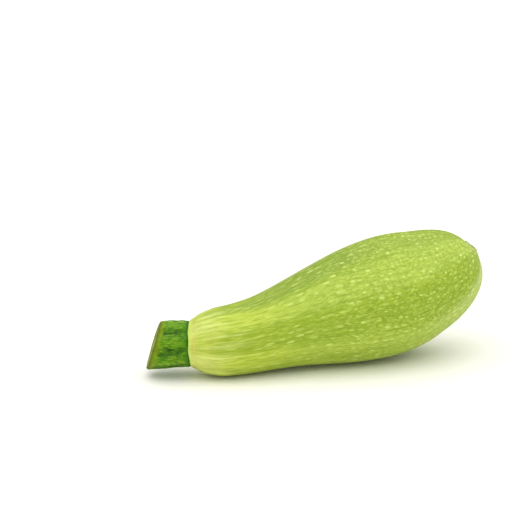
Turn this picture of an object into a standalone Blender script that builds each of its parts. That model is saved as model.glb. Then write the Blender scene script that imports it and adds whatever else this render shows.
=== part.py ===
"""A light green zucchini lying on its side, with its short cut stem and the dry scar of its flower.

Lengths are in metres. The fruit lies along X, with its stem at -X and its blossom end at +X, lifted off the
surface. It rests on z = 0, on a narrow flat strip under the belly and on the shoulder behind the stem.
Along the fruit, "along" counts from the collar, where the stem leaves it, to the pole at the blossom end.
Round the fruit, an angle of 0 faces -Y and a quarter turn faces up.
"""
import math

import bmesh
import bpy
import numpy as np

# Place of the collar along X, so that the origin is under the middle of the whole zucchini
COLLAR_X = -0.06342

# Fruit: its length, and its radius along it
FRUIT_LENGTH = 0.1434
NECK_RADIUS = 0.0167
NECK_SWELL = 0.0005
SWELL_PLACE = 0.023
SWELL_WIDTH = 0.012
BELLY_RADIUS = 0.0329
SHOULDER_LENGTH = 0.015
SHOULDER_POWER = 0.9
NECK_END = 0.014
BELLY_START = 0.1154
BELLY_SPREAD = 0.0046
SPREAD_POWER = 1.3
END_LENGTH = 0.0826
END_POWER = 2.4

# Fruit: the line it follows
NECK_SINK = 0.0003
BELLY_SINK = 0.0012
ARCH_START = 0.015
ARCH_HEIGHT = 0.0012
BEND_START = 0.0861
BEND_POWER = 2.35
END_LIFT = 0.0194
COLLAR_SWAY = 0.0053
COLLAR_DROP = 0.00055
SWAY_LENGTH = 0.027

# Fruit: its relief
LOBES = 10
LOBE_DEPTH_NECK = 0.00012
LOBE_DEPTH_BELLY = 0.00032
LOBE_START = 0.004
COLLAR_BLEND = 0.006
COLLAR_CLIMB = 0.3
NUB_HEIGHT = 0.0014
NUB_RADIUS = 0.0056
NUB_LEAN = 0.8
PLEAT_DEPTH = 0.0006
PLEAT_RADIUS = 0.011

# Stem: a five-cornered column that stands in a seat in the fruit, cut off on a slant
STEM_RADIUS = 0.0110
STEM_SPREAD = 0.08
STEM_LENGTH = 0.0181
STEM_FURROWS = ((-2, 0.0018, 14), (49, 0.0013, 13), (134, 0.0016, 17), (230, 0.0017, 17), (296, 0.0014, 14))
STEM_GROOVES = ((21, 0.0003, 5), (36, 0.0002, 4), (76, 0.0003, 5), (101, 0.0003, 6), (160, 0.0003, 5),
                (184, 0.0003, 6), (206, 0.0003, 5), (262, 0.0004, 6), (313, 0.0004, 5), (333, 0.0003, 5))
CUT_YAW = math.radians(18)
CUT_PITCH = math.radians(17.5)
CUT_RIM = 0.0010
CUT_RIM_SHAPE = ((0.35, 0.2), (1.0, 0.0))
FLESH_INSET = 0.0022
FLESH_SINK = 0.0010
SEAT_DEPTH = 0.0020
SEAT_LIP = 0.0001

# Blossom scar: a dry disc with a raised rim, in a shallow seat in the nub's slanted face
SCAR_RADIUS = 0.0042
SCAR_SEAT_DEPTH = 0.0010
SCAR_RIM_HEIGHT = 0.0006
SCAR_RIM_WIDTH = 0.0012
SCAR_HOLLOW = 0.0004

# Room left between pieces that touch, and the fruit's radius round the stem that this gives
GAP = 0.0003
COLLAR_RADIUS = STEM_RADIUS + GAP + SEAT_LIP

# Fineness of the faceted pieces, and the angle from which an edge stays sharp
FRUIT_SIDES = 72
SHOULDER_RINGS = 9
BODY_RINGS = 12
END_RINGS = 27
STEM_SIDES = 100
STEM_RINGS = 9
SCAR_SIDES = 30
SHARP_ANGLE = math.radians(50)


def smoothstep(value):
    """Goes from 0 to 1 with level ends as value does."""
    value = np.clip(value, 0.0, 1.0)
    return value * value * (3.0 - 2.0 * value)


def turns(sides):
    """The angles of that many sides, in radians."""
    return np.arange(sides) * 2.0 * math.pi / sides


def plain_radius(along):
    """Radius of the neck and belly, before either end closes in."""
    swell = NECK_SWELL * np.exp(-(((along - SWELL_PLACE) / SWELL_WIDTH) ** 2))
    growth = smoothstep((along - NECK_END) / (BELLY_START - NECK_END))
    return NECK_RADIUS + swell + (BELLY_RADIUS - NECK_RADIUS) * growth


def fruit_radius(along):
    """Mean radius of the fruit, with the shoulder behind the stem and the blunt blossom end."""
    past_belly = np.clip((along - BELLY_START) / (FRUIT_LENGTH - BELLY_START), 0.0, 1.0)
    body = plain_radius(along) + BELLY_SPREAD * past_belly ** SPREAD_POWER
    shoulder = np.sin(0.5 * math.pi * np.clip(along / SHOULDER_LENGTH, 0.0, 1.0)) ** SHOULDER_POWER
    radius = COLLAR_RADIUS + (body - COLLAR_RADIUS) * shoulder
    left = np.clip((FRUIT_LENGTH - along) / END_LENGTH, 0.0, 1.0)
    return radius * (1.0 - (1.0 - left) ** END_POWER) ** (1.0 / END_POWER)


def centre_line(along):
    """Points down the middle of the fruit, and the unit directions along, sideways and up at each."""
    along = np.asarray(along, dtype=float)

    def point(at):
        arch = np.sin(math.pi * np.clip((at - ARCH_START) / (BEND_START - ARCH_START), 0.0, 1.0)) ** 2
        bend = np.clip((at - BEND_START) / (FRUIT_LENGTH - BEND_START), 0.0, None) ** BEND_POWER
        sway = np.clip(1.0 - at / SWAY_LENGTH, 0.0, None) ** 2
        growth = smoothstep((at - NECK_END) / (BEND_START - NECK_END))
        sink = NECK_SINK + (BELLY_SINK - NECK_SINK) * growth + COLLAR_DROP * sway
        height = plain_radius(at) - sink + ARCH_HEIGHT * arch + END_LIFT * bend
        return np.stack([COLLAR_X + at, COLLAR_SWAY * sway, height], axis=-1)

    step = 0.0002
    ahead = point(along + step) - point(along - step)
    ahead /= np.linalg.norm(ahead, axis=-1, keepdims=True)
    side = np.cross(ahead, [0.0, 0.0, 1.0])
    side /= np.linalg.norm(side, axis=-1, keepdims=True)
    return point(along), ahead, side, np.cross(side, ahead)


def ring(centre, side, up, radius, angles):
    """Points round one or more centres, in the plane of side and up."""
    across = np.cos(angles)[..., None] * side[..., None, :] + np.sin(angles)[..., None] * up[..., None, :]
    return centre[..., None, :] + np.asarray(radius)[..., None] * across


def grooves(angles, places):
    """Depth at each angle of rounded grooves, given as (degrees, depth, half width in degrees)."""
    total = np.zeros_like(angles)
    for degrees, depth, width in places:
        away = np.angle(np.exp(1j * (angles - math.radians(degrees))))
        total += depth * np.exp(-((away / math.radians(width)) ** 2))
    return total


def stem_outline(angles):
    """Radius of the stem at each angle, where it stands in its seat."""
    return STEM_RADIUS - grooves(angles, STEM_FURROWS) - grooves(angles, STEM_GROOVES)


def collar_climb(angles):
    """How far the flesh reaches up the stem at each angle: furthest in the furrows."""
    return COLLAR_CLIMB * grooves(angles, STEM_FURROWS)


def fruit_stations():
    """Where the rings of the fruit's outer face stand, close together where it turns quickly."""
    shoulder = SHOULDER_LENGTH * np.linspace(0.0, 1.0, SHOULDER_RINGS, endpoint=False) ** 1.4
    end_start = FRUIT_LENGTH - END_LENGTH
    body = np.linspace(SHOULDER_LENGTH, end_start, BODY_RINGS, endpoint=False)
    seat_share = (SCAR_RADIUS + GAP) / (BELLY_RADIUS + BELLY_SPREAD)
    last_turn = math.asin(seat_share ** (0.5 * END_POWER))
    turn = np.linspace(0.5 * math.pi, last_turn, END_RINGS)
    end = FRUIT_LENGTH - END_LENGTH * (1.0 - np.cos(turn) ** (2.0 / END_POWER))
    return np.concatenate([shoulder, body, end])


def fruit_surface(along, angles):
    """The fruit's outer face as a grid of points, one ring for each station."""
    centre, ahead, side, up = centre_line(along)
    mean = fruit_radius(along)[:, None]

    # The shoulder follows the stem's furrows in, and soon rounds out
    fading = 1.0 - smoothstep(along / COLLAR_BLEND)[:, None]
    radius = mean - fading * (STEM_RADIUS - stem_outline(angles))

    # Soft lobes, one of them underneath, which fade at the collar and at the pole
    growth = smoothstep((along - NECK_END) / (BELLY_START - NECK_END))
    depth = LOBE_DEPTH_NECK + (LOBE_DEPTH_BELLY - LOBE_DEPTH_NECK) * growth
    depth = depth * smoothstep((along - LOBE_START) / COLLAR_BLEND) * smoothstep(mean[:, 0] / PLEAT_RADIUS - 0.5)
    lobes = np.cos(LOBES * (angles + 0.5 * math.pi))
    radius = radius + depth[:, None] * lobes
    points = ring(centre, side, up, radius, angles) - (fading * collar_climb(angles))[..., None] * ahead[0]

    # At the pole the skin rises in a nub, highest underneath, between pleats that run in to the scar
    pole = np.where(along > BELLY_START, 1.0, 0.0)[:, None]
    nub = NUB_HEIGHT * np.exp(-((radius / NUB_RADIUS) ** 2)) * (1.0 - NUB_LEAN * np.sin(angles))
    seat = SCAR_RADIUS + GAP
    reach = np.clip((radius - seat) / (PLEAT_RADIUS - seat), 0.0, 1.0)
    pleat = PLEAT_DEPTH * np.sin(math.pi * np.sqrt(reach)) * (0.5 - 0.5 * lobes) ** 2
    points = points + (pole * (nub - pleat))[..., None] * ahead[-1]

    # The weight flattens the underside where it meets the surface
    points[..., 2] = np.maximum(points[..., 2], 0.0)
    return points


def finish_object(name, rings, start, end, material):
    """Makes one closed body from rings of points, closed by a fan to start and a fan to end."""
    mesh_data = bmesh.new()
    loops = [[mesh_data.verts.new(point) for point in points] for points in rings]
    first = mesh_data.verts.new(start)
    last = mesh_data.verts.new(end)
    sides = len(loops[0])
    for i in range(sides):
        j = (i + 1) % sides
        mesh_data.faces.new((first, loops[0][i], loops[0][j]))
        mesh_data.faces.new((last, loops[-1][j], loops[-1][i]))
        for near, far in zip(loops[:-1], loops[1:]):
            mesh_data.faces.new((near[i], far[i], far[j], near[j]))
    bmesh.ops.recalc_face_normals(mesh_data, faces=mesh_data.faces)
    mesh = bpy.data.meshes.new(name)
    mesh_data.to_mesh(mesh)
    mesh_data.free()
    mesh.shade_smooth()
    mesh.set_sharp_from_angle(angle=SHARP_ANGLE)
    mesh.materials.append(material)
    thing = bpy.data.objects.new(name, mesh)
    bpy.context.scene.collection.objects.link(thing)
    return thing


def make_material(name, colour, roughness):
    """A plain shader with the piece's own colour."""
    material = bpy.data.materials.new(name)
    material.use_nodes = True
    shader = material.node_tree.nodes["Principled BSDF"]
    shader.inputs["Base Color"].default_value = (*colour, 1.0)
    shader.inputs["Roughness"].default_value = roughness
    shader.inputs["Metallic"].default_value = 0.0
    return material


def make_fruit():
    """The fruit: its outer face, the seat of the stem at one end and the seat of the scar at the other."""
    angles = turns(FRUIT_SIDES)
    stations = fruit_stations()
    outer = fruit_surface(stations, angles)
    collar, collar_ahead, collar_side, collar_up = centre_line(0.0)
    seat = ring(collar, collar_side, collar_up, stem_outline(angles) + GAP, angles)
    wall = seat - collar_climb(angles)[:, None] * collar_ahead
    seat_floor = seat + SEAT_DEPTH * collar_ahead
    pole_ahead = centre_line(FRUIT_LENGTH)[1]
    scar_floor = outer[-1] - SCAR_SEAT_DEPTH * pole_ahead
    rings = [seat_floor, wall, *outer, scar_floor]
    skin = make_material("fruit_skin", (0.41, 0.54, 0.06), 0.45)
    return finish_object("fruit", rings, collar + SEAT_DEPTH * collar_ahead, scar_floor.mean(axis=0), skin)


def make_stem():
    """The stem: ridged sides, a slanted cut with a rounded rim, and flesh that has sunk a little."""
    angles = turns(STEM_SIDES)
    collar, ahead, side, up = centre_line(0.0)
    outward = -ahead
    outline = stem_outline(angles)
    inside = SEAT_DEPTH - GAP
    cut_normal = np.array([-math.cos(CUT_PITCH) * math.cos(CUT_YAW), math.cos(CUT_PITCH) * math.sin(CUT_YAW),
                           math.sin(CUT_PITCH)])
    cut_centre = collar + STEM_LENGTH * outward

    def cut_length(points_at_collar):
        """How far along the stem the cut lies from each point of a ring at the collar."""
        return (cut_centre - points_at_collar) @ cut_normal / (outward @ cut_normal)

    rings = [ring(collar, side, up, outline, angles) - inside * outward]
    for share in np.linspace(0.0, 1.0, STEM_RINGS):
        spread = ring(collar, side, up, outline * (1.0 + STEM_SPREAD * math.sqrt(share)), angles)
        length = cut_length(spread) - CUT_RIM
        rings.append(spread + (share * length)[:, None] * outward)
    profile = [(CUT_RIM * inset, CUT_RIM * drop) for inset, drop in CUT_RIM_SHAPE]
    for inset, drop in [*profile, (FLESH_INSET, FLESH_SINK)]:
        narrowed = ring(collar, side, up, outline * (1.0 + STEM_SPREAD) - inset, angles)
        rings.append(narrowed + (cut_length(narrowed) - drop)[:, None] * outward)
    bark = make_material("stem_skin", (0.13, 0.27, 0.02), 0.55)
    return finish_object("stem", rings, collar - inside * outward, cut_centre - FLESH_SINK * outward, bark)


def scar_slant(radius, angles):
    """How far the scar's plane leans out at each place: furthest underneath."""
    seat = SCAR_RADIUS + GAP
    lean = NUB_LEAN * NUB_HEIGHT * math.exp(-((seat / NUB_RADIUS) ** 2))
    return -lean * (radius / seat) * np.sin(angles)


def make_blossom_scar():
    """The scar: a corky disc with a raised rim and a hollow middle."""
    angles = turns(SCAR_SIDES)
    pole, ahead, side, up = centre_line(FRUIT_LENGTH)
    edge = fruit_surface(fruit_stations()[-1:], angles)[0]
    level = float(((edge - pole) @ ahead).mean())
    floor = level - SCAR_SEAT_DEPTH + GAP
    profile = (
        (SCAR_RADIUS, floor),
        (SCAR_RADIUS, level),
        (SCAR_RADIUS - 0.25 * SCAR_RIM_WIDTH, level + 0.75 * SCAR_RIM_HEIGHT),
        (SCAR_RADIUS - 0.6 * SCAR_RIM_WIDTH, level + SCAR_RIM_HEIGHT),
        (SCAR_RADIUS - SCAR_RIM_WIDTH, level + 0.8 * SCAR_RIM_HEIGHT),
        (0.5 * SCAR_RADIUS, level + SCAR_RIM_HEIGHT - SCAR_HOLLOW),
    )
    rings = []
    for radius, height in profile:
        level_ring = ring(pole + height * ahead, side, up, radius, angles)
        rings.append(level_ring + scar_slant(radius, angles)[:, None] * ahead)
    middle = pole + (level + SCAR_RIM_HEIGHT - 1.2 * SCAR_HOLLOW) * ahead
    cork = make_material("scar_cork", (0.06, 0.045, 0.015), 0.85)
    return finish_object("blossom_scar", rings, pole + floor * ahead, middle, cork)


def main():
    for thing in list(bpy.data.objects):
        bpy.data.objects.remove(thing, do_unlink=True)
    make_fruit()
    make_stem()
    make_blossom_scar()


main()
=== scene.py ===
"""Looks of a light green zucchini: waxy flecked skin, furrowed cut stem and the dry scar of its flower.

Each piece follows the formulas of the solid that it stands for, with many more points and finer relief.
Lengths are in metres. "Along" counts from the collar, where the stem leaves the fruit, to the blossom end.
Round the fruit, an angle of 0 faces -Y and a quarter turn faces up.
"""
import math

import bmesh
import bpy
import numpy as np
from mathutils import Matrix, Vector, noise


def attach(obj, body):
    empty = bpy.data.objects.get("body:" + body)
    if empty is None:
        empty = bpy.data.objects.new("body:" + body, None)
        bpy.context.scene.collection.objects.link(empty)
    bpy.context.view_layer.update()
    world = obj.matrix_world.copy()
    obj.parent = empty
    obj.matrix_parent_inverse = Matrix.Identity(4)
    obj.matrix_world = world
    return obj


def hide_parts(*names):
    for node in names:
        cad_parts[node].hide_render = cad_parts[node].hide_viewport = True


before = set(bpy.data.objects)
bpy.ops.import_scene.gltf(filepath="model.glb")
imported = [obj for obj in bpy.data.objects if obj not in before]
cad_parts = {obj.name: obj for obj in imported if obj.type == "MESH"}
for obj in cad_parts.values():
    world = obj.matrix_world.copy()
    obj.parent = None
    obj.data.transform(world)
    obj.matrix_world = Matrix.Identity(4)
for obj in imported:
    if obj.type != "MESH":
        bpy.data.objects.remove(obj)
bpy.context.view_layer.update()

# Fruit: its length, its radius along it, and the line it follows
COLLAR_X = -0.06342
FRUIT_LENGTH = 0.1434
NECK_RADIUS = 0.0167
NECK_SWELL = 0.0005
SWELL_PLACE = 0.023
SWELL_WIDTH = 0.012
BELLY_RADIUS = 0.0329
SHOULDER_LENGTH = 0.015
SHOULDER_POWER = 0.9
NECK_END = 0.014
BELLY_START = 0.1154
BELLY_SPREAD = 0.0046
SPREAD_POWER = 1.3
END_LENGTH = 0.0826
END_POWER = 2.4
NECK_SINK = 0.0003
BELLY_SINK = 0.0012
ARCH_START = 0.015
ARCH_HEIGHT = 0.0012
BEND_START = 0.0861
BEND_POWER = 2.35
END_LIFT = 0.0194
COLLAR_SWAY = 0.0053
COLLAR_DROP = 0.00055
SWAY_LENGTH = 0.027

# Fruit: its lobes, collar and blossom end
LOBES = 10
LOBE_DEPTH_NECK = 0.00012
LOBE_DEPTH_BELLY = 0.00032
LOBE_START = 0.004
COLLAR_BLEND = 0.006
COLLAR_CLIMB = 0.3
NUB_HEIGHT = 0.0014
NUB_RADIUS = 0.0056
NUB_LEAN = 0.8
PLEAT_DEPTH = 0.0006
PLEAT_RADIUS = 0.011

# Stem: its section, its length and its cut
STEM_RADIUS = 0.0110
STEM_SPREAD = 0.08
STEM_LENGTH = 0.0181
STEM_FURROWS = ((-2, 0.0018, 14), (49, 0.0013, 13), (134, 0.0016, 17), (230, 0.0017, 17), (296, 0.0014, 14))
STEM_GROOVES = ((21, 0.0003, 5), (36, 0.0002, 4), (76, 0.0003, 5), (101, 0.0003, 6), (160, 0.0003, 5),
                (184, 0.0003, 6), (206, 0.0003, 5), (262, 0.0004, 6), (313, 0.0004, 5), (333, 0.0003, 5))
CUT_YAW = math.radians(18)
CUT_PITCH = math.radians(17.5)
CUT_RIM = 0.0014
CUT_RIM_SHARE = 0.14
FLESH_SINK = 0.0011
SEAT_DEPTH = 0.0020
SEAT_LIP = 0.0001

# Blossom scar
SCAR_RADIUS = 0.0042
SCAR_SEAT_DEPTH = 0.0010
SCAR_RIM_HEIGHT = 0.0006
SCAR_RIM_WIDTH = 0.0012
SCAR_HOLLOW = 0.0004

GAP = 0.0003
COLLAR_RADIUS = STEM_RADIUS + GAP + SEAT_LIP

# Fineness of the pieces, the angle from which an edge stays sharp, and the margin of their layout
FRUIT_SIDES = 288
SHOULDER_RINGS = 56
BODY_RINGS = 150
END_RINGS = 92
STEM_SIDES = 360
STEM_RINGS = 110
CUT_RINGS = 48
RIM_RINGS = 8
LAST_CUT_RING = 0.985
SCAR_SIDES = 180
SCAR_RINGS = 40
SHARP_ANGLE = math.radians(50)
LAYOUT_EDGE = 0.002

# Fine relief of the skin
RIB_COUNTS = (23, 29, 37, 46, 53, 61)
RIB_DEPTH = 0.00016
RIB_FADE = 0.055
SWELLS = ((2, 1.3), (3, 2.1), (1, 2.7), (4, 3.4), (5, 4.3))
SWELL_DEPTH = 0.00035
RIM_GROOVE_PLACE = 0.0021
RIM_GROOVE_WIDTH = 0.0006
RIM_GROOVE_DEPTH = 0.00014

# Fine relief of the stem, its cut and the scar
STRAND_HEIGHT = 0.0002
BUMP_HEIGHT = 0.00034
CUT_LUMPS = 0.00012
CUT_GRAIN = 0.00005
SCAR_LUMPS = 0.00022
SCAR_GRAIN = 0.0001
SCAR_SINK = 0.00012
SCAR_RAGGED = 0.00012

# Dark bands of the skin: their number and form, and where they drift and fade underneath; and painted shade
# that darkens the top of the waist
BANDS = 5
BAND_ANGLE = math.radians(4)
BAND_LEAN = 0.46
BAND_WAVER = 0.12
BAND_UNEVEN = 0.3
BAND_UNEVEN_ANGLE = math.radians(-20)
BAND_DRIFT = math.radians(-20.6)
DRIFT_MIDDLE = 0.45
PLAIN_END = 0.08
TOP_SHADE_START = 0.018
TOP_SHADE_GROWTH = 0.022
TOP_SHADE_END = 0.075
TOP_SHADE_DEPTH = 1.3
BAND_FADE = 0.03

# Rows of flecks and streaks: how they twist, how many there are, and how far the neck draws them out
TWIST = math.radians(-15)
TWIST_START = 0.25
TWIST_POWER = 1.5
FLECK_ROWS = 50
NECK_DRAW = 3.2
END_DRAW = 1.15
MILLIMETRE = 0.001

# Floor: how far it reaches, and how far it lies under the fruit
FLOOR_REACH = 6.0
FLOOR_DROP = 0.00005

# Light: a wide sun from above, and a white surround that is dimmer from behind
KEY_ENERGY = 2.05
KEY_WIDTH = math.radians(110)
KEY_COLOUR = (1.0, 0.99, 0.97)
KEY_TOWARDS = (0.0, 0.04, -1.0)
GLOW_COLOUR = (0.98, 0.99, 1.0, 1.0)
GLOW_FRONT = 0.79
GLOW_BEHIND = 0.38

# Camera: where it stands, which way it looks and how far it is turned
CAMERA_PLACE = (-0.29426, -0.76864, 0.26947)
CAMERA_AZIMUTH = math.radians(18.992)
CAMERA_DIP = math.radians(14.770)
CAMERA_ROLL = math.radians(-0.716)
CAMERA_LENS = 122.74
SENSOR_WIDTH = 36.0


def linear(red, green, blue):
    """A colour given as seen, with parts from 0 to 255, as the renderer's own linear colour."""
    seen = np.array([red, green, blue]) / 255.0
    value = np.where(seen <= 0.04045, seen / 12.92, ((seen + 0.055) / 1.055) ** 2.4)
    return (*[float(part) for part in value], 1.0)


def smoothstep(value):
    """Goes from 0 to 1 with level ends as value does."""
    value = np.clip(value, 0.0, 1.0)
    return value * value * (3.0 - 2.0 * value)


def turns(sides):
    """The angles of that many sides, in radians."""
    return np.arange(sides) * 2.0 * math.pi / sides


def plain_radius(along):
    """Radius of the neck and belly, before either end closes in."""
    swell = NECK_SWELL * np.exp(-(((along - SWELL_PLACE) / SWELL_WIDTH) ** 2))
    growth = smoothstep((along - NECK_END) / (BELLY_START - NECK_END))
    return NECK_RADIUS + swell + (BELLY_RADIUS - NECK_RADIUS) * growth


def fruit_radius(along):
    """Mean radius of the fruit, with the shoulder behind the stem and the blunt blossom end."""
    past_belly = np.clip((along - BELLY_START) / (FRUIT_LENGTH - BELLY_START), 0.0, 1.0)
    body = plain_radius(along) + BELLY_SPREAD * past_belly ** SPREAD_POWER
    shoulder = np.sin(0.5 * math.pi * np.clip(along / SHOULDER_LENGTH, 0.0, 1.0)) ** SHOULDER_POWER
    radius = COLLAR_RADIUS + (body - COLLAR_RADIUS) * shoulder
    left = np.clip((FRUIT_LENGTH - along) / END_LENGTH, 0.0, 1.0)
    return radius * (1.0 - (1.0 - left) ** END_POWER) ** (1.0 / END_POWER)


def centre_line(along):
    """Points down the middle of the fruit, and the unit directions along, sideways and up at each."""
    along = np.asarray(along, dtype=float)

    def point(at):
        arch = np.sin(math.pi * np.clip((at - ARCH_START) / (BEND_START - ARCH_START), 0.0, 1.0)) ** 2
        bend = np.clip((at - BEND_START) / (FRUIT_LENGTH - BEND_START), 0.0, None) ** BEND_POWER
        sway = np.clip(1.0 - at / SWAY_LENGTH, 0.0, None) ** 2
        growth = smoothstep((at - NECK_END) / (BEND_START - NECK_END))
        sink = NECK_SINK + (BELLY_SINK - NECK_SINK) * growth + COLLAR_DROP * sway
        height = plain_radius(at) - sink + ARCH_HEIGHT * arch + END_LIFT * bend
        return np.stack([COLLAR_X + at, COLLAR_SWAY * sway, height], axis=-1)

    step = 0.0002
    ahead = point(along + step) - point(along - step)
    ahead /= np.linalg.norm(ahead, axis=-1, keepdims=True)
    side = np.cross(ahead, [0.0, 0.0, 1.0])
    side /= np.linalg.norm(side, axis=-1, keepdims=True)
    return point(along), ahead, side, np.cross(side, ahead)


def ring(centre, side, up, radius, angles):
    """Points round one or more centres, in the plane of side and up."""
    across = np.cos(angles)[..., None] * side[..., None, :] + np.sin(angles)[..., None] * up[..., None, :]
    return centre[..., None, :] + np.asarray(radius)[..., None] * across


def grooves(angles, places):
    """Depth at each angle of rounded grooves, given as (degrees, depth, half width in degrees)."""
    total = np.zeros_like(angles)
    for degrees, depth, width in places:
        away = np.angle(np.exp(1j * (angles - math.radians(degrees))))
        total += depth * np.exp(-((away / math.radians(width)) ** 2))
    return total


def stem_outline(angles):
    """Radius of the stem at each angle, where it stands in its seat."""
    return STEM_RADIUS - grooves(angles, STEM_FURROWS) - grooves(angles, STEM_GROOVES)


def collar_climb(angles):
    """How far the flesh reaches up the stem at each angle: furthest in the furrows."""
    return COLLAR_CLIMB * grooves(angles, STEM_FURROWS)


def fruit_stations():
    """Where the rings of the fruit's outer face stand, close together where it turns quickly."""
    shoulder = SHOULDER_LENGTH * np.linspace(0.0, 1.0, SHOULDER_RINGS, endpoint=False) ** 1.4
    end_start = FRUIT_LENGTH - END_LENGTH
    body = np.linspace(SHOULDER_LENGTH, end_start, BODY_RINGS, endpoint=False)
    seat_share = (SCAR_RADIUS + GAP) / (BELLY_RADIUS + BELLY_SPREAD)
    last_turn = math.asin(seat_share ** (0.5 * END_POWER))
    turn = np.linspace(0.5 * math.pi, last_turn, END_RINGS)
    end = FRUIT_LENGTH - END_LENGTH * (1.0 - np.cos(turn) ** (2.0 / END_POWER))
    return np.concatenate([shoulder, body, end])


def skin_relief(along, angles):
    """How far the real skin lies inside the plain form: fine ribs, faint swells and a groove by the rim."""
    chance = np.random.default_rng(11)
    share = (along / FRUIT_LENGTH)[:, None]
    ribs = np.zeros((len(along), len(angles)))
    turned = angles - twist(along)[:, None]
    for count in RIB_COUNTS:
        start, drift = chance.uniform(0.0, 2.0 * math.pi, 2)
        ribs += np.cos(count * turned + start + 0.5 * (drift - math.pi) * share) / len(RIB_COUNTS)
    swells = np.zeros_like(ribs)
    for count, waves in SWELLS:
        start, lag = chance.uniform(0.0, 2.0 * math.pi, 2)
        swells += np.cos(count * angles + start) * np.cos(waves * 2.0 * math.pi * share + lag) / len(SWELLS)
    open_skin = smoothstep((along - LOBE_START) / COLLAR_BLEND)
    open_skin = open_skin * smoothstep(fruit_radius(along) / PLEAT_RADIUS - 0.5)
    rib_depth = RIB_DEPTH * (0.15 + 0.85 * np.exp(-((along / RIB_FADE) ** 2))) * open_skin
    swell_depth = SWELL_DEPTH * open_skin
    rim = RIM_GROOVE_DEPTH * np.exp(-(((along - RIM_GROOVE_PLACE) / RIM_GROOVE_WIDTH) ** 2))
    rib_relief = rib_depth[:, None] * (0.5 - 0.5 * ribs)
    swell_relief = swell_depth[:, None] * (0.5 - 0.5 * swells)
    return rib_relief + swell_relief + rim[:, None]


def fruit_surface(along, angles, relief=0.0):
    """The fruit's outer face as a grid of points, one ring for each station."""
    centre, ahead, side, up = centre_line(along)
    mean = fruit_radius(along)[:, None]

    # The shoulder follows the stem's furrows in, and soon rounds out
    fading = 1.0 - smoothstep(along / COLLAR_BLEND)[:, None]
    radius = mean - fading * (STEM_RADIUS - stem_outline(angles))

    # Soft lobes, one of them underneath, which fade at the collar and at the pole
    growth = smoothstep((along - NECK_END) / (BELLY_START - NECK_END))
    depth = LOBE_DEPTH_NECK + (LOBE_DEPTH_BELLY - LOBE_DEPTH_NECK) * growth
    depth = depth * smoothstep((along - LOBE_START) / COLLAR_BLEND)
    depth = depth * smoothstep(mean[:, 0] / PLEAT_RADIUS - 0.5)
    lobes = np.cos(LOBES * (angles + 0.5 * math.pi))
    radius = radius + depth[:, None] * lobes - relief
    points = ring(centre, side, up, radius, angles) - (fading * collar_climb(angles))[..., None] * ahead[0]

    # At the pole the skin rises in a nub, highest underneath, between pleats that run in to the scar
    pole = np.where(along > BELLY_START, 1.0, 0.0)[:, None]
    nub = NUB_HEIGHT * np.exp(-((radius / NUB_RADIUS) ** 2)) * (1.0 - NUB_LEAN * np.sin(angles))
    seat = SCAR_RADIUS + GAP
    reach = np.clip((radius - seat) / (PLEAT_RADIUS - seat), 0.0, 1.0)
    pleat = PLEAT_DEPTH * np.sin(math.pi * np.sqrt(reach)) * (0.5 - 0.5 * lobes) ** 2
    points = points + (pole * (nub - pleat))[..., None] * ahead[-1]

    # The weight flattens the underside where it meets the surface
    points[..., 2] = np.maximum(points[..., 2], 0.0)
    return points


def twist(along):
    """How far the streaks and rows of flecks have turned round the fruit at each place, in radians."""
    share = (along / FRUIT_LENGTH - TWIST_START) / (1.0 - TWIST_START)
    return TWIST * np.clip(share, 0.0, 1.0) ** TWIST_POWER


def drawn_out(along):
    """Distance along the skin as its markings were before the neck drew them out, in millimetres."""
    fine = np.linspace(0.0, FRUIT_LENGTH, 4000)
    ahead_of_belly = np.clip(1.0 - fine / BELLY_START, 0.0, 1.0)
    draw = END_DRAW + (NECK_DRAW - END_DRAW) * ahead_of_belly ** 1.3
    on_skin = np.hypot(np.diff(fine), np.diff(fruit_radius(fine)))
    steps = on_skin * 0.5 * (1.0 / draw[1:] + 1.0 / draw[:-1])
    total = np.concatenate([[0.0], np.cumsum(steps)])
    return np.interp(along, fine, total) / MILLIMETRE


def corner_places(mesh, count, sides):
    """Where the corners of a body's faces lie: once round as 0 to 1, and the number of the ring.

    This is held for corners and not for points, so that the last side runs on to 1 and not back to 0.
    """
    corners = np.empty(len(mesh.loops), dtype=np.int32)
    mesh.loops.foreach_get("vertex_index", corners)
    firsts = np.empty(len(mesh.polygons), dtype=np.int32)
    mesh.polygons.foreach_get("loop_start", firsts)
    sizes = np.diff(np.append(firsts, len(corners)))
    face_of = np.repeat(np.arange(len(sizes)), sizes)
    at_end = corners >= count * sides
    column = np.where(at_end, -1, corners % sides)
    on_last_side = np.maximum.reduceat(column, firsts) == sides - 1
    on_first_side = np.minimum.reduceat(np.where(at_end, sides, column), firsts) == 0
    crossing = on_last_side & on_first_side
    column = np.where((column == 0) & crossing[face_of], sides, column).astype(float)
    total = np.add.reduceat(np.where(at_end, 0.0, column), firsts)
    number = np.add.reduceat(np.where(at_end, 0.0, 1.0), firsts)
    turn = np.where(at_end, (total / number)[face_of], column) / sides
    level = np.where(at_end, np.where(corners == count * sides, -1.0, count), corners // sides)
    return turn, level


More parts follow.
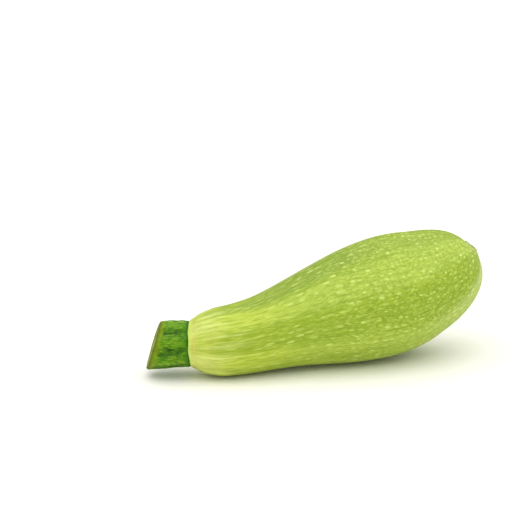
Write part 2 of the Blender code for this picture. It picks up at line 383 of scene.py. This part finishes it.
def body_from_rings(name, rings, start, end, vectors=None, numbers=None, flesh_from=None):
    """One closed body from rings of points, with named vectors and numbers on its points, for its colours.

    Faces from the ring numbered flesh_from on take the second material.
    """
    rings = np.asarray(rings)
    count, sides = rings.shape[:2]
    points = np.concatenate([rings.reshape(-1, 3), [start], [end]])
    near = np.arange((count - 1) * sides)
    turned = (near // sides) * sides + (near + 1) % sides
    quads = np.stack([near, near + sides, turned + sides, turned], axis=1).tolist()
    one = np.arange(sides)
    other = (one + 1) % sides
    last = (count - 1) * sides
    first_fan = [(count * sides, int(a), int(b)) for a, b in zip(one, other)]
    last_fan = [(count * sides + 1, last + int(b), last + int(a)) for a, b in zip(one, other)]
    mesh = bpy.data.meshes.new(name)
    mesh.from_pydata(points.tolist(), [], quads + first_fan + last_fan)
    work = bmesh.new()
    work.from_mesh(mesh)
    bmesh.ops.recalc_face_normals(work, faces=work.faces)
    work.to_mesh(mesh)
    work.free()
    for key, values in (vectors or {}).items():
        ends = [values[0].mean(axis=0), values[-1].mean(axis=0)]
        layer = mesh.attributes.new(key, "FLOAT_VECTOR", "POINT")
        held = np.concatenate([values.reshape(-1, 3), ends])
        layer.data.foreach_set("vector", held.astype(np.float32).ravel())
    for key, values in (numbers or {}).items():
        ends = [values[0].mean(), values[-1].mean()]
        layer = mesh.attributes.new(key, "FLOAT", "POINT")
        held = np.concatenate([values.ravel(), ends])
        layer.data.foreach_set("value", held.astype(np.float32))
    turn, level = corner_places(mesh, count, sides)
    layer = mesh.attributes.new("turn", "FLOAT", "CORNER")
    layer.data.foreach_set("value", turn.astype(np.float32))
    layout = mesh.uv_layers.new(name="OFBake")
    onward = (level + 1.0) / (count + 1.0)
    places = LAYOUT_EDGE + (1.0 - 2.0 * LAYOUT_EDGE) * np.stack([turn, onward], axis=1)
    layout.data.foreach_set("uv", places.astype(np.float32).ravel())
    if flesh_from is not None:
        kinds = np.zeros(len(mesh.polygons), dtype=np.int32)
        kinds[flesh_from * sides:(count - 1) * sides] = 1
        kinds[-sides:] = 1
        mesh.polygons.foreach_set("material_index", kinds)
    mesh.shade_smooth()
    mesh.set_sharp_from_angle(angle=SHARP_ANGLE)
    thing = bpy.data.objects.new(name, mesh)
    bpy.context.scene.collection.objects.link(thing)
    return thing


class Paint:
    """A material that is built up node by node."""

    def __init__(self, name, **uniform):
        self.material = bpy.data.materials.new(name)
        self.material.use_nodes = True
        self.tree = self.material.node_tree
        self.shader = self.tree.nodes["Principled BSDF"]
        for key, value in uniform.items():
            self.shader.inputs[key.replace("_", " ")].default_value = value

    def node(self, kind, feeds, **settings):
        """A new node, whose inputs are fed by other nodes' outputs or hold plain values."""
        made = self.tree.nodes.new("ShaderNode" + kind)
        for key, value in settings.items():
            setattr(made, key, value)
        for key, value in feeds.items():
            if isinstance(value, bpy.types.NodeSocket):
                self.tree.links.new(value, made.inputs[key])
            else:
                made.inputs[key].default_value = value
        return made

    def vector(self, name):
        """A named vector of the mesh."""
        return self.node("Attribute", {}, attribute_name=name).outputs["Vector"]

    def number(self, name):
        """A named number of the mesh."""
        return self.node("Attribute", {}, attribute_name=name).outputs["Fac"]

    def scaled(self, vector, along, across):
        """The vector with its first part, which runs along, and its other two scaled."""
        feeds = {0: vector, 1: (along, across, across)}
        return self.node("VectorMath", feeds, operation="MULTIPLY").outputs[0]

    def noise(self, vector, scale, detail=2.0, roughness=0.5, distortion=0.0):
        """Cloudy noise, mostly from 0.3 to 0.7."""
        feeds = {"Vector": vector, "Scale": scale, "Detail": detail}
        feeds.update({"Roughness": roughness, "Distortion": distortion})
        return self.node("TexNoise", feeds).outputs["Fac"]

    def cells(self, vector, scale):
        """Distance to the nearest of scattered points."""
        return self.node("TexVoronoi", {"Vector": vector, "Scale": scale}).outputs["Distance"]

    def math(self, operation, first, second=0.0):
        """One step of arithmetic."""
        return self.node("Math", {0: first, 1: second}, operation=operation).outputs[0]

    def times(self, *values):
        """The product of all the values."""
        total = values[0]
        for value in values[1:]:
            total = self.math("MULTIPLY", total, value)
        return total

    def rise(self, value, low, high, to_low=0.0, to_high=1.0):
        """Goes smoothly from to_low to to_high as value goes from low to high."""
        feeds = {"Value": value, "From Min": low, "From Max": high, "To Min": to_low, "To Max": to_high}
        return self.node("MapRange", feeds, interpolation_type="SMOOTHSTEP").outputs["Result"]

    def blend(self, first, second, share):
        """A colour between two others, the second where share is 1."""
        made = self.node("Mix", {"Factor": share}, data_type="RGBA")
        for place, value in ((6, first), (7, second)):
            if isinstance(value, bpy.types.NodeSocket):
                self.tree.links.new(value, made.inputs[place])
            else:
                made.inputs[place].default_value = value
        return made.outputs[2]

    def row_flecks(self, turn, along, girth, rows, spacing, length, width, kept):
        """Soft flecks in rows along the fruit, and how far each place is from the middle of its row.

        That distance goes from 0 to 0.5. Turn counts once round the fruit. Along and girth are in
        millimetres, and so are the sizes of a fleck.
        """
        across = self.math("MULTIPLY", turn, rows)
        row = self.math("FLOORED_MODULO", self.math("FLOOR", across), rows)
        off_row = self.math("SUBTRACT", self.math("FRACT", across), 0.5)
        start = self.node("TexWhiteNoise", {"W": row}, noise_dimensions="1D").outputs["Value"]
        steps = self.math("ADD", self.math("DIVIDE", along, spacing), self.times(start, 17.0))
        off_step = self.math("SUBTRACT", self.math("FRACT", steps), 0.5)
        cell = self.node("CombineXYZ", {0: row, 1: self.math("FLOOR", steps), 2: spacing}).outputs[0]
        chance = self.node("TexWhiteNoise", {"Vector": cell}, noise_dimensions="3D").outputs["Color"]
        first, second, third = self.node("SeparateColor", {0: chance}).outputs
        aside = self.math("SUBTRACT", off_row, self.rise(first, 0.0, 1.0, -0.16, 0.16))
        aside = self.math("DIVIDE", self.times(aside, girth), self.times(width, 0.5 * rows))
        behind = self.math("SUBTRACT", off_step, self.rise(second, 0.0, 1.0, -0.3, 0.3))
        behind = self.times(behind, spacing / (0.5 * length))
        away = self.math("ADD", self.times(aside, aside), self.times(behind, behind))
        away = self.times(away, self.rise(third, 0.0, kept, 2.2, 0.8))
        shown = self.times(self.math("LESS_THAN", third, kept), self.rise(second, 0.0, 1.0, 0.35, 1.0))
        spot = self.times(self.rise(away, 1.0, 0.12), shown)
        return spot, self.math("ABSOLUTE", off_row)

    def finish(self, colour, roughness=None, height=None, strength=0.3, distance=0.0002):
        """Joins colour, roughness and fine relief to the shader, and gives the material."""
        self.tree.links.new(colour, self.shader.inputs["Base Color"])
        if roughness is not None:
            self.tree.links.new(roughness, self.shader.inputs["Roughness"])
        if height is not None:
            bump = self.node("Bump", {"Height": height, "Strength": strength, "Distance": distance})
            self.tree.links.new(bump.outputs["Normal"], self.shader.inputs["Normal"])
        return self.material


def skin_material():
    """Waxy pale green skin, creamy at the collar, with soft dark bands, painted shade on top of the waist,
    broken lines and rows of flecks.
    """
    paint = Paint("skin", Specular_IOR_Level=0.42, Subsurface_Weight=0.12, Subsurface_Scale=0.0015)
    paint.shader.inputs["Subsurface Radius"].default_value = (1.0, 0.9, 0.25)
    grown = paint.vector("grown")
    drawn = paint.node("SeparateXYZ", {0: grown}).outputs[0]
    along = paint.number("along")
    band_and_shade = paint.number("band_and_shade")
    girth = paint.number("girth")

    # Broad tone: creamy at the collar, fresh green on the belly, with dark bands and painted shade on top of
    # the waist
    pale = paint.blend(linear(203, 212, 108), linear(176, 194, 44), paint.rise(along, 3.0, 19.0))
    pale = paint.blend(pale, linear(163, 186, 54), paint.rise(along, 20.0, 58.0))
    dark = paint.blend(linear(184, 196, 70), linear(143, 166, 6), paint.rise(along, 3.0, 18.0))
    dark = paint.blend(dark, linear(139, 165, 10), paint.rise(along, 18.0, 50.0))
    wander = paint.noise(paint.scaled(grown, 0.05, 0.16), 1.0, 3.0)
    depth = paint.math("ADD", paint.times(band_and_shade, 0.8), paint.rise(wander, 0.3, 0.7, -0.3, 0.3))
    tone = paint.blend(pale, dark, paint.rise(depth, -0.75, 0.55))
    tone = paint.blend(tone, linear(118, 146, 0), paint.rise(depth, 0.75, 1.7, 0.0, 0.75))

    # Rows of flecks, which waver a little
    waver = paint.noise(paint.scaled(grown, 0.05, 0.04), 1.0, 1.0)
    turn = paint.math("ADD", paint.number("turn"), paint.number("twist"))
    turn = paint.math("ADD", turn, paint.rise(waver, 0.2, 0.8, -0.006, 0.006))
    width = paint.rise(along, 0.0, 80.0, 0.8, 1.65)
    large, off_row = paint.row_flecks(turn, drawn, girth, FLECK_ROWS, 3.1, 2.4, width, 0.8)
    width = paint.rise(along, 0.0, 80.0, 0.6, 1.05)
    small = paint.row_flecks(turn, drawn, girth, 2 * FLECK_ROWS, 2.0, 1.5, width, 0.8)[0]
    small = paint.times(small, paint.rise(girth, 110.0, 200.0, 0.25, 1.0))

    # Broken lines between the rows, dark and pale, strong on the neck and faint on the belly
    broken = paint.noise(paint.scaled(grown, 0.52, 0.9), 1.0, 3.0, 0.6)
    on_neck = paint.rise(along, 75.0, 15.0)
    between = paint.times(paint.rise(off_row, 0.22, 0.45), paint.rise(broken, 0.46, 0.58))
    dark_line = paint.times(between, paint.rise(along, 4.0, 11.0), paint.rise(on_neck, 0.0, 1.0, 0.3, 0.5))
    tone = paint.blend(tone, linear(126, 148, 4), dark_line)
    pale_line = paint.times(paint.rise(broken, 0.50, 0.34), paint.rise(on_neck, 0.0, 1.0, 0.1, 0.4))
    tone = paint.blend(tone, linear(205, 218, 100), pale_line)

    # Pale and green rays that spread from the collar
    rays = paint.noise(paint.scaled(grown, 0.07, 0.27), 1.0, 2.0, 0.6)
    by_collar = paint.times(paint.rise(along, 1.6, 5.0), paint.rise(along, 30.0, 8.0))
    green_ray = paint.times(paint.rise(rays, 0.50, 0.62), by_collar, 0.42)
    tone = paint.blend(tone, linear(160, 184, 34), green_ray)
    pale_ray = paint.times(paint.rise(rays, 0.49, 0.36), by_collar, 0.5)
    tone = paint.blend(tone, linear(218, 228, 130), pale_ray)

    # Fine mottling between the flecks
    mottle = paint.noise(paint.scaled(grown, 0.5, 0.9), 1.0, 3.0, 0.65, 1.0)
    mottled = paint.rise(along, 35.0, 74.0, 0.22, 0.48)
    tone = paint.blend(tone, linear(114, 144, 4), paint.times(paint.rise(mottle, 0.49, 0.62), mottled))
    pale_patch = paint.times(paint.rise(mottle, 0.49, 0.38), mottled, 0.62)
    tone = paint.blend(tone, linear(196, 213, 92), pale_patch)

    # The flecks themselves, crowded in places and faint near the collar
    spots = paint.math("MAXIMUM", paint.times(large, 0.72), paint.times(small, 0.5))
    crowded = paint.rise(paint.noise(paint.scaled(grown, 0.10, 0.14), 1.0, 1.0), 0.36, 0.58, 0.5, 1.0)
    spot_share = paint.times(spots, crowded, paint.rise(along, 5.0, 70.0, 0.5, 1.0))
    tone = paint.blend(tone, linear(212, 228, 120), spot_share)

    # The bright rim round the stem, the thin tan line inside it, and a pale ring round the scar
    tone = paint.blend(linear(196, 214, 96), tone, paint.rise(along, 0.8, 1.7))
    ring_noise = paint.rise(paint.noise(grown, 0.16, 2.0), 0.42, 0.60)
    line = paint.times(paint.rise(along, 1.2, 2.1), paint.rise(along, 3.2, 2.2), ring_noise, 0.6)
    tone = paint.blend(tone, linear(204, 196, 92), line)
    tone = paint.blend(linear(196, 208, 112), tone, paint.rise(girth, 29.0, 34.0, 0.25, 1.0))

    fine = paint.noise(grown, 2.6, 3.0, 0.6)
    relief = paint.math("ADD", paint.times(spots, 0.5), paint.times(fine, 0.6))
    relief = paint.math("ADD", relief, paint.times(broken, 0.5))
    roughness = paint.rise(fine, 0.3, 0.7, 0.36, 0.48)
    return paint.finish(tone, roughness, relief, 0.35, 0.00015)


def stem_material():
    """Dark green furrowed stem, mottled with short pale streaks, olive and drier at its cut, with painted
    shade in its furrows and towards the collar and a painted highlight along its ridge crests.
    """
    paint = Paint("stem_skin", Specular_IOR_Level=0.15)
    grown = paint.vector("grown")
    along = paint.number("along")
    sunk = paint.number("sunk")
    share = paint.number("share")
    fibre = paint.noise(paint.scaled(grown, 0.38, 1.3), 1.0, 4.0, 0.65)
    patch = paint.noise(paint.scaled(grown, 0.22, 0.38), 1.0, 3.0)
    tone = paint.blend(linear(58, 108, 0), linear(114, 160, 16), paint.rise(fibre, 0.38, 0.62))
    tone = paint.blend(tone, linear(82, 136, 4), paint.rise(patch, 0.45, 0.62, 0.0, 0.6))
    specks = paint.noise(paint.scaled(grown, 0.8, 2.2), 1.0, 2.0, 0.5)
    tone = paint.blend(tone, linear(150, 184, 84), paint.rise(specks, 0.60, 0.72, 0.0, 0.7))
    # Painted shade: blotchy dark green in the furrows, strongest from the middle to near the cut
    blotchy_furrow_shade = paint.rise(paint.noise(paint.scaled(grown, 0.22, 0.5), 1.0, 2.0), 0.36, 0.6)
    blotchy_furrow_shade = paint.times(blotchy_furrow_shade, paint.rise(share, 0.1, 0.45, 0.5, 1.0), paint.rise(share, 1.0, 0.85))
    tone = paint.blend(tone, linear(30, 74, 0), paint.times(paint.rise(sunk, 0.2, 1.4), blotchy_furrow_shade, 0.9))
    # Painted highlight: paler streaks along the ridge crests
    crest_highlight = paint.times(paint.rise(sunk, 0.16, 0.04), paint.rise(fibre, 0.42, 0.55))
    tone = paint.blend(tone, linear(158, 188, 84), paint.times(crest_highlight, 0.5))
    olive = paint.math("ADD", share, paint.rise(fibre, 0.3, 0.7, -0.04, 0.04))
    tone = paint.blend(tone, linear(122, 146, 12), paint.rise(olive, 0.82, 0.96, 0.0, 0.75))
    tone = paint.blend(tone, linear(84, 96, 10), paint.rise(olive, 0.985, 1.02, 0.0, 0.8))
    # Painted shade: deeper, darker green towards the collar, and darkest in a thin line where the stem meets
    # the fruit
    tone = paint.blend(tone, linear(46, 112, 0), paint.rise(along, 4.2, 0.8, 0.0, 0.7))
    tone = paint.blend(linear(40, 88, 0), tone, paint.rise(along, 0.3, 1.6))
    roughness = paint.rise(patch, 0.3, 0.7, 0.4, 0.55)
    height = paint.math("ADD", fibre, paint.times(specks, 0.4))
    return paint.finish(tone, roughness, height, 0.6, 0.0003)


def cut_material():
    """The cut: a dried olive rim, green flesh with a ring of darker strands, and a paler middle."""
    paint = Paint("stem_cut", Specular_IOR_Level=0.3)
    grown = paint.vector("grown")
    inward = paint.number("inward")
    mottle = paint.noise(grown, 0.9, 4.0, 0.6)
    tone = paint.blend(linear(150, 172, 66), linear(186, 200, 104), paint.rise(mottle, 0.4, 0.62))
    in_ring = paint.times(paint.rise(inward, 0.62, 0.44), paint.rise(inward, 0.1, 0.2))
    strands = paint.times(paint.rise(paint.cells(grown, 0.42), 0.36, 0.16), in_ring)
    tone = paint.blend(tone, linear(88, 128, 36), paint.times(strands, 0.75))
    tone = paint.blend(tone, linear(214, 220, 156), paint.rise(inward, 0.72, 0.95, 0.0, 0.7))
    dried = paint.rise(paint.noise(grown, 0.35, 3.0), 0.54, 0.68, 0.0, 0.7)
    tone = paint.blend(tone, linear(140, 112, 48), dried)
    rind = paint.blend(linear(84, 102, 10), linear(128, 148, 34), paint.rise(mottle, 0.38, 0.64))
    rind = paint.blend(linear(88, 92, 14), rind, paint.rise(inward, 0.03, 0.08))
    tone = paint.blend(rind, tone, paint.rise(inward, 0.17, 0.29))
    roughness = paint.rise(mottle, 0.3, 0.7, 0.5, 0.7)
    return paint.finish(tone, roughness, mottle, 0.6, 0.0003)


def scar_material():
    """Dry brown cork with darker cracks and pit, paler on its raised rim and greener round its edge."""
    paint = Paint("scar_cork", Specular_IOR_Level=0.25)
    grown = paint.vector("grown")
    parts = paint.node("SeparateXYZ", {0: grown}).outputs
    square = paint.math("ADD", paint.times(parts[0], parts[0]), paint.times(parts[1], parts[1]))
    grain = paint.noise(grown, 2.2, 5.0, 0.65)
    tone = paint.blend(linear(68, 58, 32), linear(152, 132, 88), paint.rise(grain, 0.36, 0.66))
    tone = paint.blend(linear(34, 28, 14), tone, paint.rise(paint.cells(grown, 1.1), 0.08, 0.3))
    raised = paint.times(paint.rise(square, 5.0, 9.0), paint.rise(square, 14.5, 12.0))
    worn = paint.times(raised, paint.rise(grain, 0.36, 0.6, 0.15, 0.75))
    tone = paint.blend(tone, linear(176, 160, 112), worn)
    tone = paint.blend(tone, linear(52, 42, 22), paint.rise(square, 1.8, 0.3, 0.0, 0.7))
    side = paint.blend(linear(66, 70, 30), linear(110, 112, 60), paint.rise(grain, 0.4, 0.62))
    tone = paint.blend(tone, side, paint.rise(square, 12.5, 15.5))
    roughness = paint.rise(grain, 0.3, 0.7, 0.75, 0.92)
    return paint.finish(tone, roughness, grain, 0.8, 0.0004)


def floor_material():
    """Plain warm white surface with a hardly visible grain."""
    paint = Paint("floor_white", Specular_IOR_Level=0.2)
    place = paint.node("NewGeometry", {}).outputs["Position"]
    grain = paint.noise(place, 40.0, 3.0)
    tone = paint.blend(linear(249, 246, 240), linear(252, 249, 243), grain)
    roughness = paint.rise(grain, 0.3, 0.7, 0.55, 0.65)
    return paint.finish(tone, roughness)


def wrapped(along_mm, radius, angles):
    """Places on the skin for its markings, in millimetres: along, then the two ways across."""
    girth = np.asarray(radius)[:, None] / MILLIMETRE
    shape = np.broadcast_shapes(np.shape(along_mm), (len(girth), np.shape(angles)[-1]))
    parts = [np.broadcast_to(along_mm, shape), girth * np.cos(angles), girth * np.sin(angles)]
    return np.stack([np.broadcast_to(part, shape) for part in parts], axis=-1)


def band_and_shade_depth(places, angles):
    """How dark the skin's soft bands make it at each place, with painted shade added on top of the waist:
    about 1 in the bands and -1 between them.
    """
    past_middle = (places / FRUIT_LENGTH - DRIFT_MIDDLE)[:, None]
    low_down = smoothstep((0.6 - np.sin(angles)) / 0.5)
    drift = np.where(past_middle > 0.0, (0.35 + 0.65 * low_down) * past_middle, 0.3 * past_middle)
    waver = BAND_WAVER * np.sin(places[:, None] / MILLIMETRE / 9.0 + 2.0)
    phase = BANDS * (angles - BAND_ANGLE - BAND_DRIFT * drift) + waver
    uneven = BAND_UNEVEN * np.cos(4.0 * (angles - BAND_UNEVEN_ANGLE))
    band_and_shade = np.cos(phase - BAND_LEAN * (1.0 - np.cos(phase))) + uneven

    # Underneath, the neck and waist have hardly any bands
    underneath = smoothstep((-np.sin(angles) - 0.35) / 0.5)
    plain = underneath * (1.0 - smoothstep((places[:, None] - PLAIN_END) / BAND_FADE))
    band_and_shade -= (band_and_shade + 0.15) * plain

    # On top, the waist is darker: painted shade
    on_top = smoothstep((np.sin(angles) - 0.74) / 0.22)
    from_collar = smoothstep((places[:, None] - TOP_SHADE_START) / TOP_SHADE_GROWTH)
    to_belly = 1.0 - smoothstep((places[:, None] - TOP_SHADE_END) / BAND_FADE)
    band_and_shade += TOP_SHADE_DEPTH * on_top * (from_collar * to_belly)
    return band_and_shade


def make_fruit():
    """The fruit's skin, with the seat of the stem at one end and the seat of the scar at the other."""
    angles = turns(FRUIT_SIDES)
    stations = fruit_stations()
    outer = fruit_surface(stations, angles, skin_relief(stations, angles))
    collar, collar_ahead, collar_side, collar_up = centre_line(0.0)
    seat = ring(collar, collar_side, collar_up, stem_outline(angles) + GAP, angles)
    wall = seat - collar_climb(angles)[:, None] * collar_ahead
    seat_floor = seat + SEAT_DEPTH * collar_ahead
    pole_ahead = centre_line(FRUIT_LENGTH)[1]
    scar_floor = outer[-1] - SCAR_SEAT_DEPTH * pole_ahead
    rings = np.stack([seat_floor, wall, *outer, scar_floor])

    places = np.concatenate([[0.0, 0.0], stations, stations[-1:]])
    radius = fruit_radius(places)
    widest = places[radius.argmax()]
    radius = np.where(places < widest, radius.max(), radius)
    turned = angles - twist(places)[:, None]
    grown = wrapped(drawn_out(places)[:, None], radius, turned)
    along = np.repeat(places[:, None] / MILLIMETRE, FRUIT_SIDES, axis=1)
    girth = np.repeat(2.0 * math.pi * fruit_radius(places)[:, None] / MILLIMETRE, FRUIT_SIDES, axis=1)
    ahead_turns = np.repeat(-twist(places)[:, None] / (2.0 * math.pi), FRUIT_SIDES, axis=1)
    numbers = {"along": along, "band_and_shade": band_and_shade_depth(places, angles), "girth": girth, "twist": ahead_turns}
    fruit = body_from_rings("fruit_skin", rings, collar + SEAT_DEPTH * collar_ahead, scar_floor.mean(axis=0),
                            {"grown": grown}, numbers)
    fruit.data.materials.append(skin_material())
    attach(fruit, "root")
    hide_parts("fruit")


def noise_field(places, seed):
    """Smooth noise from -1 to 1 at each place of a grid of vectors."""
    shift = Vector((seed * 17.3, seed * 5.1, seed * 11.7))
    flat = places.reshape(-1, 3)
    return np.array([noise.noise(Vector(place) + shift) for place in flat]).reshape(places.shape[:-1])


def make_stem():
    """The stem: furrowed sides with fine strands, a slanted cut with a rounded rim, and sunken flesh."""
    angles = turns(STEM_SIDES)
    collar, ahead, side, up = centre_line(0.0)
    outward = -ahead
    outline = stem_outline(angles)
    inside = SEAT_DEPTH - GAP
    cut_normal = np.array([-math.cos(CUT_PITCH) * math.cos(CUT_YAW), math.cos(CUT_PITCH) * math.sin(CUT_YAW),
                           math.sin(CUT_PITCH)])
    cut_centre = collar + STEM_LENGTH * outward

    def cut_length(points_at_collar):
        """How far along the stem the cut lies from each point of a ring at the collar."""
        return (cut_centre - points_at_collar) @ cut_normal / (outward @ cut_normal)

    rings = [ring(collar, side, up, outline, angles) - inside * outward]
    grown = [wrapped(-2.0, [STEM_RADIUS], angles)[0]]
    shares = np.linspace(0.0, 1.0, STEM_RINGS)
    full_length = cut_length(ring(collar, side, up, outline, angles)) / MILLIMETRE
    texture_places = wrapped(shares[:, None] * full_length, np.full(STEM_RINGS, STEM_RADIUS), angles)
    bumps = noise_field(texture_places * (0.16, 0.34, 0.34), 3)
    wavy = texture_places + 0.8 * bumps[..., None]
    strands = noise_field(wavy * (0.16, 1.0, 1.0), 1) + 0.5 * noise_field(wavy * (0.4, 2.4, 2.4), 2)
    relief = STRAND_HEIGHT * strands + BUMP_HEIGHT * bumps
    relief *= smoothstep(shares * 12.0)[:, None]
    for share, rough, places in zip(shares, relief, texture_places):
        spread = ring(collar, side, up, outline * (1.0 + STEM_SPREAD * math.sqrt(share)) + rough, angles)
        length = cut_length(spread) - CUT_RIM
        rings.append(spread + (share * length)[:, None] * outward)
        grown.append(places)
    sunk = [(STEM_RADIUS - outline) / MILLIMETRE] * len(rings)
    inward = [np.zeros(STEM_SIDES)] * len(rings)
    alongs = [places[:, 0] for places in grown]
    cut_share = [np.full(STEM_SIDES, share) for share in (0.0, *shares)]
    side_rings = len(rings)

    # The rim rounds over into the cut, and the flesh has sunk a little inside it
    edge = outline * (1.0 + STEM_SPREAD) + relief[-1]
    mean_edge = edge.mean()
    rim_steps = np.linspace(0.0, 1.0, RIM_RINGS)[1:] * CUT_RIM_SHARE
    flesh_steps = np.linspace(CUT_RIM_SHARE, LAST_CUT_RING, CUT_RINGS)[1:]
    for step in np.concatenate([rim_steps, flesh_steps]):
        rounded = mean_edge + (edge - mean_edge) * (1.0 - step) ** 0.5
        radius = rounded * (1.0 - step)
        over = np.clip(step / CUT_RIM_SHARE, 0.0, 1.0)
        rim_drop = CUT_RIM * (1.0 - math.sqrt(1.0 - (1.0 - over) ** 2)) if over < 1.0 else 0.0
        sink = FLESH_SINK * float(smoothstep((step - CUT_RIM_SHARE) / 0.16))
        sink *= 1.0 - 0.5 * float(smoothstep((step - 0.5) / 0.5))
        flat = wrapped(0.0, [1.0], angles)[0] * radius[:, None]
        rough = CUT_LUMPS * noise_field(flat * 1.1, 4) + CUT_GRAIN * noise_field(flat * 3.0, 5)
        rough *= float(smoothstep((step - 0.08) / 0.15))
        narrowed = ring(collar, side, up, radius, angles)
        rings.append(narrowed + (cut_length(narrowed) - rim_drop - sink + rough)[:, None] * outward)
        grown.append(flat)
        alongs.append(full_length)
        cut_share.append(np.ones(STEM_SIDES))
        sunk.append(np.zeros(STEM_SIDES))
        inward.append(np.full(STEM_SIDES, step))
    middle = cut_centre - 0.5 * FLESH_SINK * outward
    numbers = {"along": np.stack(alongs), "sunk": np.stack(sunk), "inward": np.stack(inward),
               "share": np.stack(cut_share)}
    stem = body_from_rings("stem_cut_and_sides", rings, collar - inside * outward, middle,
                           {"grown": np.stack(grown)}, numbers, side_rings)
    stem.data.materials.append(stem_material())
    stem.data.materials.append(cut_material())
    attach(stem, "root")
    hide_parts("stem")


def scar_slant(radius, angles):
    """How far the scar's plane leans out at each place: furthest underneath."""
    seat = SCAR_RADIUS + GAP
    lean = NUB_LEAN * NUB_HEIGHT * math.exp(-((seat / NUB_RADIUS) ** 2))
    return -lean * (radius / seat) * np.sin(angles)


def make_scar():
    """The scar: a corky disc with a ragged raised rim and a hollow, cracked middle."""
    angles = turns(SCAR_SIDES)
    pole, ahead, side, up = centre_line(FRUIT_LENGTH)
    edge = fruit_surface(fruit_stations()[-1:], angles)[0]
    level = float(((edge - pole) @ ahead).mean())
    floor = level - SCAR_SEAT_DEPTH + GAP
    profile = np.array((
        (SCAR_RADIUS, floor),
        (SCAR_RADIUS, level),
        (SCAR_RADIUS - 0.25 * SCAR_RIM_WIDTH, level + 0.75 * SCAR_RIM_HEIGHT),
        (SCAR_RADIUS - 0.6 * SCAR_RIM_WIDTH, level + SCAR_RIM_HEIGHT),
        (SCAR_RADIUS - SCAR_RIM_WIDTH, level + 0.8 * SCAR_RIM_HEIGHT),
        (0.5 * SCAR_RADIUS, level + SCAR_RIM_HEIGHT - SCAR_HOLLOW),
        (0.02 * SCAR_RADIUS, level + SCAR_RIM_HEIGHT - 1.2 * SCAR_HOLLOW),
    ))
    steps = np.linspace(0.0, len(profile) - 1.0, SCAR_RINGS)
    radii = np.interp(steps, np.arange(len(profile)), profile[:, 0])
    heights = np.interp(steps, np.arange(len(profile)), profile[:, 1])
    rings = []
    grown = []
    for radius, height in zip(radii, heights):
        flat = ring(np.zeros(3), np.array([1.0, 0.0, 0.0]), np.array([0.0, 1.0, 0.0]), radius, angles)
        places = flat / MILLIMETRE + (0.0, 0.0, height / MILLIMETRE)
        above = float(smoothstep((height - level) / (0.5 * SCAR_RIM_HEIGHT)))
        rough = SCAR_LUMPS * noise_field(places * 1.3, 6) + SCAR_GRAIN * noise_field(places * 3.2, 7)
        raised = height + scar_slant(radius, angles) + above * (rough - SCAR_SINK)
        shrink = above * SCAR_RAGGED * (1.0 + noise_field(places * 0.9, 8))
        narrowed = ring(pole, side, up, radius - np.minimum(shrink, radius), angles)
        rings.append(narrowed + raised[:, None] * ahead)
        grown.append(places)
    scar = body_from_rings("blossom_scar_cork", rings, pole + floor * ahead, pole + heights[-1] * ahead,
                           {"grown": np.stack(grown)})
    scar.data.materials.append(scar_material())
    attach(scar, "root")
    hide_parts("blossom_scar")


def make_floor():
    """A plain pale surface, wide enough to reach past the view."""
    mesh = bpy.data.meshes.new("floor")
    signs = ((-1, -1), (1, -1), (1, 1), (-1, 1))
    corners = [(FLOOR_REACH * x, FLOOR_REACH * y, -FLOOR_DROP) for x, y in signs]
    mesh.from_pydata(corners, [], [(0, 1, 2, 3)])
    floor = bpy.data.objects.new("floor", mesh)
    mesh.materials.append(floor_material())
    bpy.context.scene.collection.objects.link(floor)


def make_light():
    """Soft studio light: a wide sun from above, and a white surround that is dimmer from behind."""
    key = bpy.data.lights.new("key", "SUN")
    key.energy = KEY_ENERGY
    key.angle = KEY_WIDTH
    key.color = KEY_COLOUR
    lamp = bpy.data.objects.new("key", key)
    lamp.rotation_mode = "QUATERNION"
    lamp.rotation_quaternion = Vector(KEY_TOWARDS).to_track_quat("-Z", "Y")
    bpy.context.scene.collection.objects.link(lamp)

    world = bpy.data.worlds.new("surround")
    world.use_nodes = True
    tree = world.node_tree
    shown = tree.nodes["Background"]
    shown.inputs["Color"].default_value = (1.0, 1.0, 1.0, 1.0)
    shown.inputs["Strength"].default_value = 1.0
    glow = tree.nodes.new("ShaderNodeBackground")
    glow.inputs["Color"].default_value = GLOW_COLOUR
    direction = tree.nodes.new("ShaderNodeTexCoord")
    parts = tree.nodes.new("ShaderNodeSeparateXYZ")
    tree.links.new(direction.outputs["Generated"], parts.inputs[0])
    shade = tree.nodes.new("ShaderNodeMapRange")
    shade.interpolation_type = "SMOOTHSTEP"
    limits = {"From Min": 0.1, "From Max": 0.9, "To Min": GLOW_FRONT, "To Max": GLOW_BEHIND}
    for name, value in limits.items():
        shade.inputs[name].default_value = value
    tree.links.new(parts.outputs["Y"], shade.inputs["Value"])
    tree.links.new(shade.outputs["Result"], glow.inputs["Strength"])
    path = tree.nodes.new("ShaderNodeLightPath")
    mix = tree.nodes.new("ShaderNodeMixShader")
    tree.links.new(path.outputs["Is Camera Ray"], mix.inputs[0])
    tree.links.new(glow.outputs[0], mix.inputs[1])
    tree.links.new(shown.outputs[0], mix.inputs[2])
    tree.links.new(mix.outputs[0], tree.nodes["World Output"].inputs["Surface"])
    bpy.context.scene.world = world


def make_camera():
    """A long lens, looking down a little on the fruit's near side."""
    lens = bpy.data.cameras.new("camera")
    lens.lens = CAMERA_LENS
    lens.sensor_width = SENSOR_WIDTH
    lens.clip_start = 0.05
    lens.clip_end = 50.0
    camera = bpy.data.objects.new("camera", lens)
    level = math.cos(CAMERA_DIP)
    sideways = math.sin(CAMERA_AZIMUTH)
    onward = math.cos(CAMERA_AZIMUTH)
    ahead = Vector((sideways * level, onward * level, -math.sin(CAMERA_DIP)))
    aim = ahead.to_track_quat("-Z", "Y").to_matrix()
    turned = aim @ Matrix.Rotation(CAMERA_ROLL, 3, "Z")
    camera.matrix_world = Matrix.Translation(CAMERA_PLACE) @ turned.to_4x4()
    bpy.context.scene.collection.objects.link(camera)
    bpy.context.scene.camera = camera


make_fruit()
make_stem()
make_scar()
make_floor()
make_light()
make_camera()
bpy.context.scene.view_settings.view_transform = "Standard"
